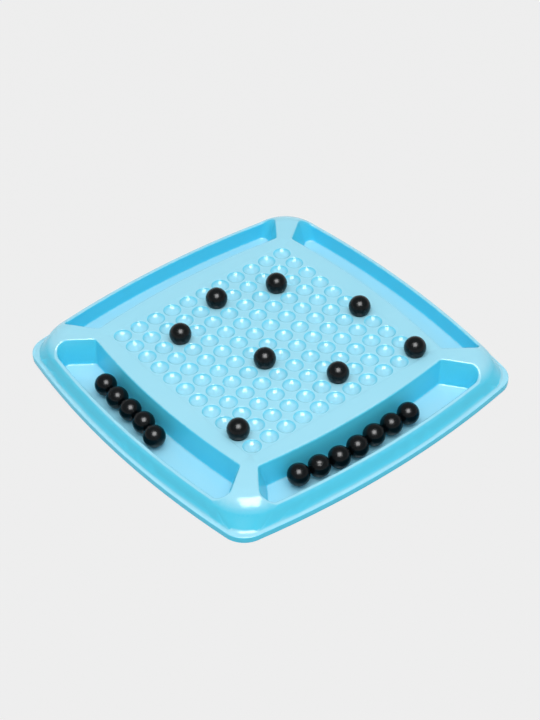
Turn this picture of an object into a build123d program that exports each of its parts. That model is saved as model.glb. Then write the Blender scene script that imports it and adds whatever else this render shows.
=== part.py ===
from build123d import *
import os
from math import cos, pi, radians, sin, sqrt, tan

# Driving dimensions in millimetres. The tray stands on z = 0 and z points up.

# The playing field: a square grid of shallow round seats for the balls.
cell_pitch = 14.8
cells_per_side = 11
cell_seat_gap = 0.2  # between a ball and its seat
cell_rim_radius = 6.65
cell_lip_round = 0.6
cell_wall = 1.3  # skin under a seat
field_margin = 8.6  # from the last seat's centre to the edge of the sunk field
field_depth = 0.5
field_edge_slope = 0.6  # run of the sloped edge
field_side_radius = 3400.0
field_corner_radius = 5.0

# The platform, the four troughs round it and the ribs between them.
deck_height = 23.0
wall = 1.8
platform_border = 14.9  # from the field's edge to the platform's edge
platform_side_radius = 578.0
trough_width = 28.7  # carried up to deck level, at the middle of a side
trough_floor_height = 3.8
trough_side_draft = 8.0  # degrees
trough_end_draft = 17.0
trough_end_angle = 53.2  # between an end wall and the side of the tray
rib_setback = 14.2  # from the platform's half width back to where a rib starts
trough_floor_round = 2.0
trough_lip_round = 1.8
trough_wall_rise = 0.45  # a trough wall's normal rises less than this, and the top's more
trough_inner_corner = 3.0
trough_outer_corner = 7.0
trough_floor_corner = 5.0

# The outer wall rolls over from the deck, and stands on a stepped flange.
rim_width = 6.2  # from the trough's outer wall, at deck level, to the wall's foot
wall_lean = 2.6  # how far the straight part of the wall leans in
shoulder_radius = 20.0
shoulder_angle = 60.0  # degrees of roll before the wall runs straight
shoulder_steps = 6  # sections along the roll
shoulder_corner_radius = 31.0
foot_corner_radius = 19.5
flange_ledge = 3.4
flange_height = 4.5
flange_side_radius = 699.0  # all the sides bow outwards
flange_corner_radius = 18.1
flange_edge_round = 0.8

# The balls: a shell in two halves, with a magnet inside.
ball_diameter = 16.0
magnet_diameter = 9.0
magnet_length = 8.0
magnet_gap = 0.1
spigot_diameter = 12.2  # ring that centres one half on the other
spigot_height = 1.1
spigot_gap = 0.1
floor_gap = 0.2  # under a ball in a trough
row_gap = 0.1  # between two balls in a row
seam_tilt_step = 37  # loose balls lie any way round: degrees that each turns from the last
seam_turn_step = 67

# Balls on the field, as column and row counted from the centre seat.
field_balls = [(1, 5), (5, 5), (-3, 3), (4, 1), (-4, 0), (1, -1), (-3, -3), (4, -5)]
# The row in the front trough and the row in the right one: how far along the side the
# first ball lies, how far it is from the platform's edge at the middle of the side, and
# the direction from each ball to the next, in degrees from +X.
front_row = (-49.0, 10.1, [-5.7, -1.8, -1.1, -9.5])
right_row = (-60.6, 9.1, [80.6, 82.0, 89.3, 94.8, 90.7, 92.1])

# Sizes that follow.
field_height = deck_height - field_depth
field_half_width = (cells_per_side - 1) / 2 * cell_pitch + field_margin
platform_half_width = field_half_width + platform_border
trough_outer_half_width = platform_half_width + trough_width
foot_half_width = trough_outer_half_width + rim_width
flange_half_width = foot_half_width + flange_ledge
ball_radius = ball_diameter / 2
seat_radius = ball_radius + cell_seat_gap
seat_centre = sqrt(seat_radius**2 - cell_rim_radius**2)  # above the field
ball_step = ball_diameter + row_gap


def side_radius(half_width):
    # The outer walls bow about the same centres as the flange.
    return flange_side_radius - flange_half_width + half_width


def bowed_square(half_width, radius, corner_radius, z):
    # A closed outline of four bowed sides and four round corners.
    side_x = half_width - radius
    reach = radius - corner_radius
    centre = (side_x + sqrt(2 * reach**2 - side_x**2)) / 2
    tangent = (side_x + radius * (centre - side_x) / reach, radius * centre / reach)
    tip = centre + corner_radius / sqrt(2)
    side = ThreePointArc((tangent[0], -tangent[1]), (half_width, 0), tangent)
    corner = ThreePointArc(tangent, (tip, tip), (tangent[1], tangent[0]))
    edges = []
    for quarter in range(4):
        turn = Rot(0, 0, 90 * quarter)
        edges += [turn * side, turn * corner]
    return Pos(0, 0, z) * Wire(edges)


def body(skin):
    # The outer form without troughs, with a skin of the given thickness taken off.
    roll = shoulder_radius - skin
    lean_half_width = foot_half_width - wall_lean
    sections = []
    for step in range(shoulder_steps + 1):
        angle = radians(shoulder_angle * step / shoulder_steps)
        inset = shoulder_radius * sin(radians(shoulder_angle)) - roll * sin(angle)
        half_width = lean_half_width - inset
        height = deck_height - shoulder_radius + roll * cos(angle)
        corner = shoulder_corner_radius - inset
        sections.append(bowed_square(half_width, side_radius(half_width), corner, height))
    half_width = foot_half_width - skin
    foot = bowed_square(
        half_width, side_radius(half_width), foot_corner_radius - skin, flange_height - skin
    )
    return Solid.make_loft(sections) + Solid.make_loft([foot, sections[-1]], ruled=True)


def flange(skin):
    half_width = flange_half_width - skin
    outline = bowed_square(half_width, side_radius(half_width), flange_corner_radius - skin, 0)
    return extrude(Face(outline), flange_height - skin)


def trough_outline(z, corner, grow):
    # The trough on the +Y side, cut at one height.
    drop = deck_height - z
    side_shift = drop * tan(radians(trough_side_draft)) - grow
    slope = radians(trough_end_angle)
    end_shift = (drop * tan(radians(trough_end_draft)) - grow) / sin(slope)
    outer_half_width = trough_outer_half_width - side_shift
    outer_radius = side_radius(outer_half_width)
    inner_centre = platform_half_width - platform_side_radius
    ring = Pos(0, outer_half_width - outer_radius) * Circle(outer_radius)
    ring -= Pos(0, inner_centre) * Circle(platform_side_radius + side_shift)
    start_x = platform_half_width - rib_setback
    start_y = inner_centre + sqrt(platform_side_radius**2 - start_x**2)
    low, high = platform_half_width / 2, flange_half_width * 1.2
    low_x = start_x + (low - start_y) / tan(slope) - end_shift
    high_x = start_x + (high - start_y) / tan(slope) - end_shift
    wedge = Polygon((-low_x, low), (low_x, low), (high_x, high), (-high_x, high), align=None)
    outline = (ring & wedge).face()
    outline = fillet(outline.vertices().sort_by(Axis.Y)[:2], trough_inner_corner + grow)
    outline = fillet(outline.vertices().sort_by(Axis.Y)[-2:], corner + grow)
    return Pos(0, 0, z) * outline.face().outer_wire()


def trough(grow=0.0):
    # The trough's space. Grown by the wall, it is what the hollow below keeps clear of.
    floor = trough_outline(trough_floor_height - grow, trough_floor_corner, grow)
    mouth = trough_outline(deck_height + wall, trough_outer_corner, grow)
    space = Solid.make_loft([floor, mouth], ruled=True)
    floor_edges = space.faces().sort_by(Axis.Z)[0].edges()
    return space.fillet(trough_floor_round + grow, floor_edges)


def four_sides(shape):
    return [Rot(0, 0, 90 * quarter) * shape for quarter in range(4)]


def trough_lips(solid):
    # The edges near deck level where a steep trough wall meets the gently rolled top.
    faces_at = {}
    for face in solid.faces():
        for edge in face.edges():
            faces_at.setdefault(edge_place(edge), []).append(face)
    inner_limit = (field_half_width + platform_half_width) / 2
    lips = []
    for edge in solid.edges():
        middle = edge @ 0.5
        if edge.bounding_box().min.Z < deck_height - shoulder_radius / 2:
            continue
        if max(abs(middle.X), abs(middle.Y)) < inner_limit:
            continue
        upward = [abs(face.normal_at(middle).Z) for face in faces_at[edge_place(edge)]]
        if len(upward) == 2 and min(upward) < trough_wall_rise < max(upward):
            lips.append(edge)
    return lips


def edge_place(edge):
    # An edge's middle, rounded, by which the two faces that share the edge are matched.
    return tuple(round(value, 4) for value in edge @ 0.5)


def seat():
    # The space of one seat: a round bowl, with a rounded lip where it meets the field.
    outer = seat_radius + cell_lip_round
    lip_x = sqrt(outer**2 - (seat_centre + cell_lip_round) ** 2)
    share = seat_radius / outer
    touch = (lip_x * share, seat_centre - (seat_centre + cell_lip_round) * share)
    bottom = (0, seat_centre - seat_radius)
    low_angle = -pi / 2 + touch[0] / seat_radius / 2
    mid_bowl = (seat_radius * cos(low_angle), seat_centre + seat_radius * sin(low_angle))
    lip_low = Vector(touch[0] - lip_x, touch[1] + cell_lip_round)
    lip_mid = (lip_low.normalized() + Vector(0, 1)).normalized() * cell_lip_round
    lip_mid = (lip_x + lip_mid.X, -cell_lip_round + lip_mid.Y)
    above = 2.0
    outline = Wire(
        [
            ThreePointArc(bottom, mid_bowl, touch),
            ThreePointArc(touch, lip_mid, (lip_x, 0)),
            Line((lip_x, 0), (lip_x, above)),
            Line((lip_x, above), (0, above)),
            Line((0, above), bottom),
        ]
    )
    return Pos(0, 0, field_height) * revolve(Plane.XZ * Face(outline), Axis.Z)


def seat_underside():
    # The round bulge that a seat makes below the field's skin.
    radius = seat_radius + cell_wall
    skin = wall - field_depth
    neck = sqrt(radius**2 - (seat_centre + skin) ** 2)
    bulge = Pos(0, 0, seat_centre) * Sphere(radius)
    bulge &= Pos(0, 0, -skin) * Cylinder(
        neck, radius, align=(Align.CENTER, Align.CENTER, Align.MAX)
    )
    bulge += Pos(0, 0, -skin) * Cylinder(
        neck, skin / 2, align=(Align.CENTER, Align.CENTER, Align.MIN)
    )
    return Pos(0, 0, field_height) * bulge


def over_field(shape):
    middle = (cells_per_side - 1) / 2
    return [
        Pos((column - middle) * cell_pitch, (row - middle) * cell_pitch) * shape
        for column in range(cells_per_side)
        for row in range(cells_per_side)
    ]


def sunk_field():
    top_half_width = field_half_width + field_edge_slope
    low = bowed_square(field_half_width, field_side_radius, field_corner_radius, field_height)
    high = bowed_square(top_half_width, field_side_radius, field_corner_radius, deck_height)
    return Solid.make_loft([low, high], ruled=True)


def board_tray():
    # One thin moulding: skin, flange, troughs and seats in one piece, open underneath.
    base = flange(0)
    base = base.fillet(flange_edge_round, base.faces().sort_by(Axis.Z)[-1].edges())
    outside = (base + body(0)) - four_sides(trough())
    outside = outside.solid()
    outside = outside.fillet(trough_lip_round, trough_lips(outside))
    hollow = (flange(wall) + body(wall)) - four_sides(trough(wall))
    hollow -= over_field(seat_underside())
    tray = outside - sunk_field()
    tray -= over_field(seat())
    return (tray - hollow).solid()


def ball_shell():
    # Two halves that meet at a seam, with a spigot on the upper one.
    room = Cylinder(magnet_diameter / 2 + magnet_gap, magnet_length + 2 * magnet_gap)
    spigot = Cylinder(
        spigot_diameter / 2, spigot_height, align=(Align.CENTER, Align.CENTER, Align.MAX)
    )
    recess = Cylinder(
        spigot_diameter / 2 + spigot_gap,
        spigot_height + spigot_gap,
        align=(Align.CENTER, Align.CENTER, Align.MAX),
    )
    upper = Sphere(ball_radius) & Pos(0, 0, ball_radius) * Box(*[ball_diameter] * 3)
    lower = Sphere(ball_radius) & Pos(0, 0, -ball_radius) * Box(*[ball_diameter] * 3)
    upper = (upper + spigot) - room
    lower = (lower - recess) - room
    return upper.solid(), lower.solid()


def row_centres(start_x, start_y, directions):
    z = trough_floor_height + floor_gap + ball_radius
    places = [Vector(start_x, start_y, z)]
    for direction in directions:
        angle = radians(direction)
        places.append(places[-1] + Vector(cos(angle), sin(angle)) * ball_step)
    return places


def ball_centres():
    places = [
        Vector(column * cell_pitch, row * cell_pitch, field_height + seat_centre)
        for column, row in field_balls
    ]
    along, off, directions = front_row
    places += row_centres(along, -(platform_half_width + off), directions)
    along, off, directions = right_row
    places += row_centres(platform_half_width + off, along, directions)
    return places


def save(shape, name):
    shape.label = name
    export_step(shape, f"parts/{name}.step")


os.makedirs("parts", exist_ok=True)
save(board_tray(), "board_tray")
halves = ball_shell()
magnet = Cylinder(magnet_diameter / 2, magnet_length)
centres = ball_centres()
for number, centre in enumerate(centres, start=1):
    turn = Rot(0, seam_tilt_step * number % 180, seam_turn_step * number % 360)
    place = Pos(centre) * turn
    save(Compound(children=[place * half for half in halves]), f"ball_shell_{number:02d}")
    save(place * magnet, f"ball_magnet_{number:02d}")
gaps = [
    (a - b).length - ball_diameter
    for index, a in enumerate(centres)
    for b in centres[index + 1 :]
]
print("balls", len(centres), "least gap between two", round(min(gaps), 3))
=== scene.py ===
from math import cos, pi, radians, sin, sqrt

import bpy
from mathutils import Matrix, Vector


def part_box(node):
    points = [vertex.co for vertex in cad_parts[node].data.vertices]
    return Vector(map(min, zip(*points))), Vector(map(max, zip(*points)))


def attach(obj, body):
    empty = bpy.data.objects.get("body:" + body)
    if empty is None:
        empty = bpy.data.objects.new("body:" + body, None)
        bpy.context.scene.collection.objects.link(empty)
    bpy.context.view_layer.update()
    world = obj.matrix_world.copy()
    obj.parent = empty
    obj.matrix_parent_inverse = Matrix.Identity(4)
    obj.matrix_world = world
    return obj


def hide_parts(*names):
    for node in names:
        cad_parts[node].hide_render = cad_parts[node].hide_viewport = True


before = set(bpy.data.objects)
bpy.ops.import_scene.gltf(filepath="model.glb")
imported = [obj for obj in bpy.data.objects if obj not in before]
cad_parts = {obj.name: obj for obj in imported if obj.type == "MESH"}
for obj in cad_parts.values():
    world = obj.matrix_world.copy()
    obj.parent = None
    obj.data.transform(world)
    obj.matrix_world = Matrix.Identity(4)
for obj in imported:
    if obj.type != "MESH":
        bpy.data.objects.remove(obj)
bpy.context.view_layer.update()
print("frame loaded:", len(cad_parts), "nodes")


# Small helpers. Lengths are in metres and angles in degrees all through

def linear(hexColor):
    # sRGB hex to the linear colour that sockets take
    channels = [int(hexColor[i:i + 2], 16) / 255 for i in (1, 3, 5)]
    low, slope, shift, power = 0.04045, 12.92, 0.055, 2.4
    out = [c / slope if c <= low else ((c + shift) / (1 + shift)) ** power for c in channels]
    return (*out, 1.0)


def addNode(tree, kind, inputs=(), links=(), **settings):
    # inputs is {socket: value}, links is {socket: (node, output)}
    node = tree.nodes.new(kind)
    for name, value in settings.items():
        setattr(node, name, value)
    for name, value in dict(inputs).items():
        node.inputs[name].default_value = value
    for name, (source, output) in dict(links).items():
        tree.links.new(source.outputs[output], node.inputs[name])
    return node


def newMaterial(name):
    material = bpy.data.materials.new(name)
    material.use_nodes = True
    material.node_tree.nodes.clear()
    return material, material.node_tree


def coat(obj, material):
    obj.data.materials.clear()
    obj.data.materials.append(material)


def newObject(name, data):
    obj = bpy.data.objects.new(name, data)
    bpy.context.scene.collection.objects.link(obj)
    return obj


def clearSelection():
    if bpy.context.object and bpy.context.object.mode != "OBJECT":
        bpy.ops.object.mode_set(mode="OBJECT")
    bpy.ops.object.select_all(action="DESELECT")


def makeActive(obj):
    clearSelection()
    obj.select_set(True)
    bpy.context.view_layer.objects.active = obj


def lookAxes(azimuth, elevation, roll=0.0):
    # right, up and back of something that looks at the object from this side
    a, e, turn = radians(azimuth), radians(elevation), radians(roll)
    back = Vector((sin(a) * cos(e), -cos(a) * cos(e), sin(e)))
    right = Vector((cos(a), sin(a), 0))
    up = back.cross(right)
    return right * cos(turn) + up * sin(turn), up * cos(turn) - right * sin(turn), back


def placeLooking(obj, target, distance, azimuth, elevation, roll=0.0):
    right, up, back = lookAxes(azimuth, elevation, roll)
    turned = Matrix((right, up, back)).transposed().to_4x4()
    obj.matrix_world = Matrix.Translation(Vector(target) + back * distance) @ turned


# Camera, at the place that the photo was taken from

cameraSpot = {
    "target": (0.0144, -0.0098, 0.0225),  # middle of the view, on the playing field
    "azimuth": 51.33,
    "elevation": 41.53,
    "roll": -0.885,
    "distance": 1.2814,
    "lens": 90.72,
    "sensor": 36.0,
    "nearest": 0.05,  # it shows nothing nearer than this, or farther than the next
    "farthest": 50.0,
}
camera = newObject("camera", bpy.data.cameras.new("camera"))
camera.data.lens = cameraSpot["lens"]
camera.data.sensor_width = cameraSpot["sensor"]
camera.data.clip_start = cameraSpot["nearest"]
camera.data.clip_end = cameraSpot["farthest"]
placeLooking(
    camera, cameraSpot["target"], cameraSpot["distance"],
    cameraSpot["azimuth"], cameraSpot["elevation"], cameraSpot["roll"],
)
bpy.context.scene.camera = camera
bpy.context.scene.view_settings.view_transform = "Standard"
print("camera placed")


# Studio: a pale paper sweep under a dim ceiling, with softboxes round it

studio = {
    "paper": "#efefef",
    "paperBody": "#b8b8b8",  # what the paper sends back to the tray
    "shownShare": 0.975,  # how much of the paper's look is its own flat tone
    "floorSize": 40.0,
    "sweepTop": 0.16,  # sine of the angle up to which the sweep is pale
    "sweepFade": 0.1,  # and how much of the same it takes to turn into the ceiling
    "ceiling": 0.46,
}
# Where each softbox stands, its size and how bright its face is. One with gloss False lights the
# object but isn't mirrored in it, and one with light False is mirrored but lights nothing
softboxes = {
    "keySoftbox": {"azimuth": 56.8, "elevation": 65.0, "distance": 1.3, "width": 1.0, "height": 1.2,
                   "face": 1.8, "gloss": False},
    "keyGlint": {"azimuth": 56.8, "elevation": 66.0, "distance": 1.29, "width": 0.76, "height": 0.8,
                 "face": 20.5, "light": False},
    "frontFill": {"azimuth": 51.0, "elevation": 24.0, "distance": 2.6, "width": 4.0, "height": 1.6,
                  "face": 0.3, "gloss": False},
    "overhead": {"azimuth": 51.0, "elevation": 90.0, "distance": 2.4, "width": 3.6, "height": 3.6,
                 "face": 0.74, "gloss": False},
}


def seenDirectly(tree):
    # 1 for rays that only show the paper: to the camera, in gloss and through glass
    path = addNode(tree, "ShaderNodeLightPath")
    seen = addNode(tree, "ShaderNodeMath", operation="MAXIMUM", links={
        0: (path, "Is Camera Ray"), 1: (path, "Is Glossy Ray")})
    return addNode(tree, "ShaderNodeMath", operation="MAXIMUM", links={
        0: (seen, 0), 1: (path, "Is Transmission Ray")})


def addFloor():
    clearSelection()
    bpy.ops.mesh.primitive_plane_add(size=studio["floorSize"])
    floor = bpy.context.object
    floor.name = "paperFloor"
    material, tree = newMaterial("mattePaper")
    paper = addNode(tree, "ShaderNodeBsdfDiffuse", {"Color": linear(studio["paperBody"])})
    tone = addNode(tree, "ShaderNodeEmission", {"Color": linear(studio["paper"]), "Strength": 1.0})
    share = addNode(tree, "ShaderNodeMath", {1: studio["shownShare"]}, {0: (seenDirectly(tree), 0)},
                    operation="MULTIPLY")
    mixed = addNode(tree, "ShaderNodeMixShader", links={0: (share, 0), 1: (paper, 0), 2: (tone, 0)})
    addNode(tree, "ShaderNodeOutputMaterial", links={"Surface": (mixed, 0)})
    coat(floor, material)


def addWorld():
    # The sweep is as pale as the paper up to its top edge, and the ceiling above is dim
    world = bpy.data.worlds.new("paperSweep")
    world.use_nodes = True
    tree = world.node_tree
    tree.nodes.clear()
    place = addNode(tree, "ShaderNodeTexCoord")
    height = addNode(tree, "ShaderNodeSeparateXYZ", links={"Vector": (place, "Generated")})
    strength = addNode(tree, "ShaderNodeMapRange", {
        "From Min": studio["sweepTop"], "From Max": studio["sweepTop"] + studio["sweepFade"],
        "To Min": 1.0, "To Max": studio["ceiling"]}, {"Value": (height, "Z")})
    light = addNode(tree, "ShaderNodeBackground", {"Color": linear(studio["paper"])},
                    {"Strength": (strength, 0)})
    addNode(tree, "ShaderNodeOutputWorld", links={"Surface": (light, 0)})
    bpy.context.scene.world = world


def addSoftbox(name, box):
    lamp = bpy.data.lights.new(name, "AREA")
    lamp.shape = "RECTANGLE"
    lamp.size = box["width"]
    lamp.size_y = box["height"]
    lamp.energy = box["face"] * pi * box["width"] * box["height"]
    softbox = newObject(name, lamp)
    softbox.visible_diffuse = box.get("light", True)
    softbox.visible_glossy = box.get("gloss", True)
    softbox.visible_camera = False
    placeLooking(softbox, (0, 0, 0), box["distance"], box["azimuth"], box["elevation"])


addFloor()
addWorld()
for name, box in softboxes.items():
    addSoftbox(name, box)
print("studio lit")


# Materials

def addRelief(tree, place, size, detail, depth):
    # The small unevenness that a way of making leaves: how wide, how rough and how deep it is
    pattern = addNode(tree, "ShaderNodeTexNoise", {"Scale": 1 / size, "Detail": detail},
                      {"Vector": (place, "Object")})
    return addNode(tree, "ShaderNodeBump", {"Strength": 1.0, "Distance": depth},
                   {"Height": (pattern, "Fac")})


trayLook = {
    "paintedSheenBlue": "#a2def1",  # faces that look up, painted paler: a painted sheen of the light from above
    "wallBlue": "#52d1f0",  # drafted walls
    "steep": 0.5,  # a face that looks up less than this has the walls' blue
    "level": 0.9,  # and one that looks up this much has all of the tops' painted sheen
    "mottleSize": 0.03,
    "mottleDetail": 2.0,
    "mottle": 0.12,  # how far the tops' painted sheen wanders back towards the walls' blue
    "roughness": 0.135,
    "ior": 1.53,
    "specular": 0.28,
    "rippleSize": 0.0012,
    "rippleDetail": 1.0,
    "rippleDepth": 0.000004,
}


def mouldedAbsBlue():
    # Glossy ABS from a polished mould. The faces that look up are painted a paler, milkier blue than
    # the walls, a painted sheen of the light from above, and a faint ripple of the flow is left all
    # over
    material, tree = newMaterial("mouldedAbsBlue")
    place = addNode(tree, "ShaderNodeTexCoord")
    facing = addNode(tree, "ShaderNodeSeparateXYZ", links={"Vector": (place, "Normal")})
    # The pale tops' blue is painted sheen: its share grows as a face looks up, as light from above
    # would
    paintedSheen = addNode(tree, "ShaderNodeMapRange", {
        "From Min": trayLook["steep"], "From Max": trayLook["level"]}, {"Value": (facing, "Z")},
        interpolation_type="SMOOTHSTEP")
    mottle = addNode(tree, "ShaderNodeTexNoise", {
        "Scale": 1 / trayLook["mottleSize"], "Detail": trayLook["mottleDetail"]},
        {"Vector": (place, "Object")})
    cloud = addNode(tree, "ShaderNodeMapRange", {
        "To Min": 1 - trayLook["mottle"], "To Max": 1.0}, {"Value": (mottle, "Fac")})
    share = addNode(tree, "ShaderNodeMath", links={0: (paintedSheen, 0), 1: (cloud, 0)}, operation="MULTIPLY")
    colour = addNode(tree, "ShaderNodeMix", {  # 6 and 7 are its two colours, and output 2 their mix
        6: linear(trayLook["wallBlue"]), 7: linear(trayLook["paintedSheenBlue"])},
        {"Factor": (share, 0)}, data_type="RGBA")
    ripple = addRelief(tree, place, trayLook["rippleSize"], trayLook["rippleDetail"],
                       trayLook["rippleDepth"])
    shader = addNode(tree, "ShaderNodeBsdfPrincipled", {
        "Roughness": trayLook["roughness"], "IOR": trayLook["ior"],
        "Specular IOR Level": trayLook["specular"],
    }, {"Base Color": (colour, 2), "Normal": (ripple, 0)})
    addNode(tree, "ShaderNodeOutputMaterial", links={"Surface": (shader, 0)})
    return material


ballLook = {
    "black": "#02070a",
    "roughness": 0.26,
    "ior": 1.53,
    "specular": 0.2,
    "grainSize": 0.0006,  # coarser than tumbling leaves it, which would be too fine to show
    "grainDetail": 3.0,
    "grainDepth": 0.000006,
}


def tumbledAbsBlack():
    # Black ABS, tumbled smooth: a soft grey sheen over a very dark body
    material, tree = newMaterial("tumbledAbsBlack")
    place = addNode(tree, "ShaderNodeTexCoord")
    grain = addRelief(tree, place, ballLook["grainSize"], ballLook["grainDetail"],
                      ballLook["grainDepth"])
    shader = addNode(tree, "ShaderNodeBsdfPrincipled", {
        "Base Color": linear(ballLook["black"]), "Roughness": ballLook["roughness"],
        "IOR": ballLook["ior"], "Specular IOR Level": ballLook["specular"],
    }, {"Normal": (grain, 0)})
    addNode(tree, "ShaderNodeOutputMaterial", links={"Surface": (shader, 0)})
    return material


magnetLook = {
    "nickel": "#c3c2bd",
    "roughness": 0.22,
    "peelSize": 0.0004,
    "peelDetail": 2.0,
    "peelDepth": 0.00001,
}


def barrelNickel():
    # Bright nickel on a sintered magnet, with the slight orange peel of barrel plating
    material, tree = newMaterial("barrelNickel")
    place = addNode(tree, "ShaderNodeTexCoord")
    peel = addRelief(tree, place, magnetLook["peelSize"], magnetLook["peelDetail"],
                     magnetLook["peelDepth"])
    shader = addNode(tree, "ShaderNodeBsdfPrincipled", {
        "Base Color": linear(magnetLook["nickel"]), "Metallic": 1.0,
        "Roughness": magnetLook["roughness"],
    }, {"Normal": (peel, 0)})
    addNode(tree, "ShaderNodeOutputMaterial", links={"Surface": (shader, 0)})
    return material


blueAbs = mouldedAbsBlue()
blackAbs = tumbledAbsBlack()
nickel = barrelNickel()
print("materials mixed")


# Tray

trayMake = {
    "mergeReach": 0.000001,
    "keptShare": 0.89,  # of the triangles: the underside has some to spare
    "smoothAngle": 40,
    "flatWeight": 50,  # broad faces set the shading of the small ones beside them
    "fieldEdge": 0.0815,  # this far out from the middle there are no seats
    "fieldDepth": 0.0005,  # below the tray's top
    "pitch": 0.0148,
    "seatsPerSide": 11,
    "seatRadius": 0.0082,  # of the sphere that a seat is part of
    "rimRadius": 0.00665,  # where that sphere comes up through the field
    "lipRound": 0.0006,
    "seatDepth": 0.004,  # no seat is deeper
    "leastUpward": 0.5,  # the seats' faces look up more than this
    "slack": 0.00002,  # for points that lie a little outside their lip
}
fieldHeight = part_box("board_tray")[1].z - trayMake["fieldDepth"]


def mergePoints(obj):
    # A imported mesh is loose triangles
    makeActive(obj)
    bpy.ops.object.mode_set(mode="EDIT")
    bpy.ops.mesh.select_all(action="SELECT")
    bpy.ops.mesh.remove_doubles(threshold=trayMake["mergeReach"])
    bpy.ops.object.mode_set(mode="OBJECT")


def groupPoints(obj, name, belongs):
    # Gives back the name alone: applying a modifier makes the groups anew, and an old one misleads
    group = obj.vertex_groups.new(name=name)
    group.add([point.index for point in obj.data.vertices if belongs(point)], 1.0, "REPLACE")
    return group.name


def isUnderneath(point):
    return point.normal.z < 0


def isOutsideField(point):
    return max(abs(point.co.x), abs(point.co.y)) > trayMake["fieldEdge"]


def applyModifier(obj, kind, **settings):
    modifier = obj.modifiers.new(kind.lower(), kind)
    for name, value in settings.items():
        setattr(modifier, name, value)
    bpy.ops.object.modifier_apply(modifier=modifier.name)


def seatNormal(point):
    # Square to the seat's sphere, or to the round of its lip. Away from the seats there is none
    pitch, radius, lip = trayMake["pitch"], trayMake["seatRadius"], trayMake["lipRound"]
    column, row = round(point.x / pitch), round(point.y / pitch)
    if max(abs(column), abs(row)) > trayMake["seatsPerSide"] // 2:
        return None
    rise = sqrt(radius ** 2 - trayMake["rimRadius"] ** 2)  # of the sphere's middle over the field
    lipMiddle = sqrt((radius + lip) ** 2 - (rise + lip) ** 2)  # how far out the lip's round starts
    across = Vector((point.x - column * pitch, point.y - row * pitch, 0))
    if across.length > lipMiddle + trayMake["slack"]:
        return None
    height = point.z - fieldHeight
    if across.length < lipMiddle * radius / (radius + lip):
        return (Vector((0, 0, rise - height)) - across).normalized()
    return (across - across.normalized() * lipMiddle + Vector((0, 0, height + lip))).normalized()


def polishSeats(mesh):
    # The highlight in each seat then has the same shape, whatever the triangles
    shading = [tuple(corner.vector) for corner in mesh.corner_normals]
    lowest = fieldHeight - trayMake["seatDepth"]
    for face in mesh.polygons:
        if face.normal.z < trayMake["leastUpward"] or face.center.z < lowest:
            continue
        for corner in face.loop_indices:
            normal = seatNormal(mesh.vertices[mesh.loops[corner].vertex_index].co)
            if normal:
                shading[corner] = tuple(normal)
    mesh.normals_split_custom_set(shading)


def finishTray():
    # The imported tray, thinned on its underside and shaded smooth
    tray = newObject("tray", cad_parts["board_tray"].data.copy())
    coat(tray, blueAbs)
    mergePoints(tray)
    underside = groupPoints(tray, "underside", isUnderneath)
    outside = groupPoints(tray, "outsideField", isOutsideField)
    applyModifier(tray, "DECIMATE", vertex_group=underside, ratio=trayMake["keptShare"])
    bpy.ops.object.shade_smooth_by_angle(angle=radians(trayMake["smoothAngle"]))
    applyModifier(tray, "WEIGHTED_NORMAL", vertex_group=outside, weight=trayMake["flatWeight"],
                  keep_sharp=True)
    polishSeats(tray.data)
    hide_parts("board_tray")
    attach(tray, "board")


finishTray()
print("tray made")


# Balls

ballMake = {
    "count": 20,
    "cuts": 15,  # in each side of the cube that is rounded into a ball
    "seamWidth": 0.00022,
    "seamStrips": 2,  # the groove's two slopes
    "seamDepth": 0.00007,
    "seamReach": 0.000001,  # points this near the seam's plane are on it
    "smoothAngle": 40,
    "poleAzimuth": 51.0,  # one half of a ball faces about this way, towards the camera
    "poleElevation": 40.0,
    "poleSpread": 34.0,
    "azimuthStep": 0.37,  # shares of the spread that each ball is turned on from the one before
    "elevationStep": 0.61,
    "shownSeams": {10: (110.0, 20.0), 15: (231.0, 38.0)},  # where two others face
}


def seamPole(number):
    if number in ballMake["shownSeams"]:
        azimuth, elevation = ballMake["shownSeams"][number]
    else:
        swing = (number * ballMake["azimuthStep"]) % 1.0 - 0.5
        lift = (number * ballMake["elevationStep"]) % 1.0 - 0.5
        azimuth = ballMake["poleAzimuth"] + swing * ballMake["poleSpread"]
        elevation = ballMake["poleElevation"] + lift * ballMake["poleSpread"]
    right, up, towards = lookAxes(azimuth, elevation)
    return towards


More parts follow.
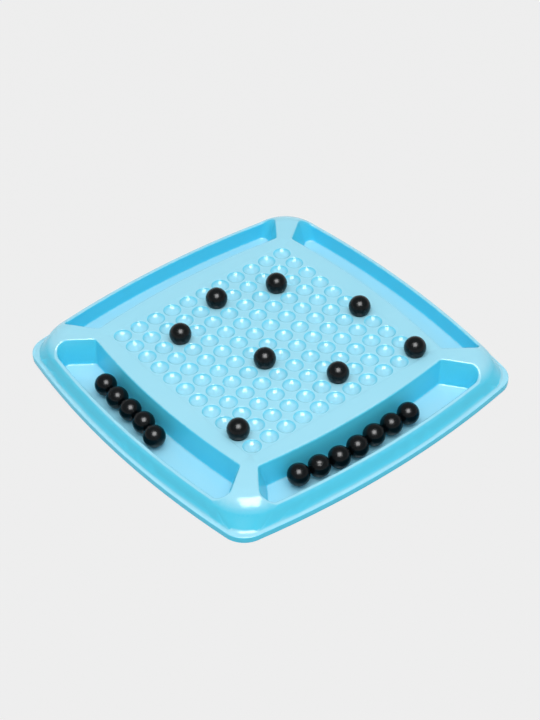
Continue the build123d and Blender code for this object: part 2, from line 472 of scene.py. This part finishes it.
def selectSeam(mesh):
    # The edges that lie in the level plane through the middle
    onSeam = [abs(point.co.z) < ballMake["seamReach"] for point in mesh.vertices]
    for item in [*mesh.vertices, *mesh.polygons]:
        item.select = False
    for edge in mesh.edges:
        edge.select = all(onSeam[index] for index in edge.vertices)
        for index in edge.vertices:
            mesh.vertices[index].select |= edge.select


def modelBall(radius):
    # One ball with its seam level, to be copied and turned
    clearSelection()
    bpy.ops.mesh.primitive_cube_add(size=2 * radius)
    ball = bpy.context.object
    ball.name = "ballPattern"
    bpy.ops.object.mode_set(mode="EDIT")
    bpy.ops.mesh.select_all(action="SELECT")
    bpy.ops.mesh.subdivide(number_cuts=ballMake["cuts"])
    bpy.ops.transform.tosphere(value=1.0)
    bpy.ops.object.mode_set(mode="OBJECT")
    ball.data.transform(Matrix.Scale(radius / ball.data.vertices[0].co.length, 4))
    selectSeam(ball.data)
    bpy.ops.object.mode_set(mode="EDIT")
    bpy.ops.mesh.bevel(offset=ballMake["seamWidth"] / 2, segments=ballMake["seamStrips"])
    bpy.ops.object.mode_set(mode="OBJECT")
    for point in ball.data.vertices:
        if abs(point.co.z) < ballMake["seamReach"]:
            point.co *= (radius - ballMake["seamDepth"]) / radius
    makeActive(ball)
    bpy.ops.object.shade_smooth_by_angle(angle=radians(ballMake["smoothAngle"]))
    coat(ball, blackAbs)
    return ball


def placeBall(pattern, number):
    node = f"ball_shell_{number:02d}"
    low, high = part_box(node)
    ball = newObject(f"ball{number:02d}", pattern.data.copy())
    turn = Vector((0, 0, 1)).rotation_difference(seamPole(number)).to_matrix().to_4x4()
    ball.data.transform(Matrix.Translation((low + high) / 2) @ turn)
    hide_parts(node)
    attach(ball, f"ball_{number:02d}")


ballLow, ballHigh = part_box("ball_shell_01")
ballPattern = modelBall((ballHigh.x - ballLow.x) / 2)
for number in range(1, ballMake["count"] + 1):
    placeBall(ballPattern, number)
    coat(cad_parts[f"ball_magnet_{number:02d}"], nickel)
bpy.data.objects.remove(ballPattern)
print("balls made")
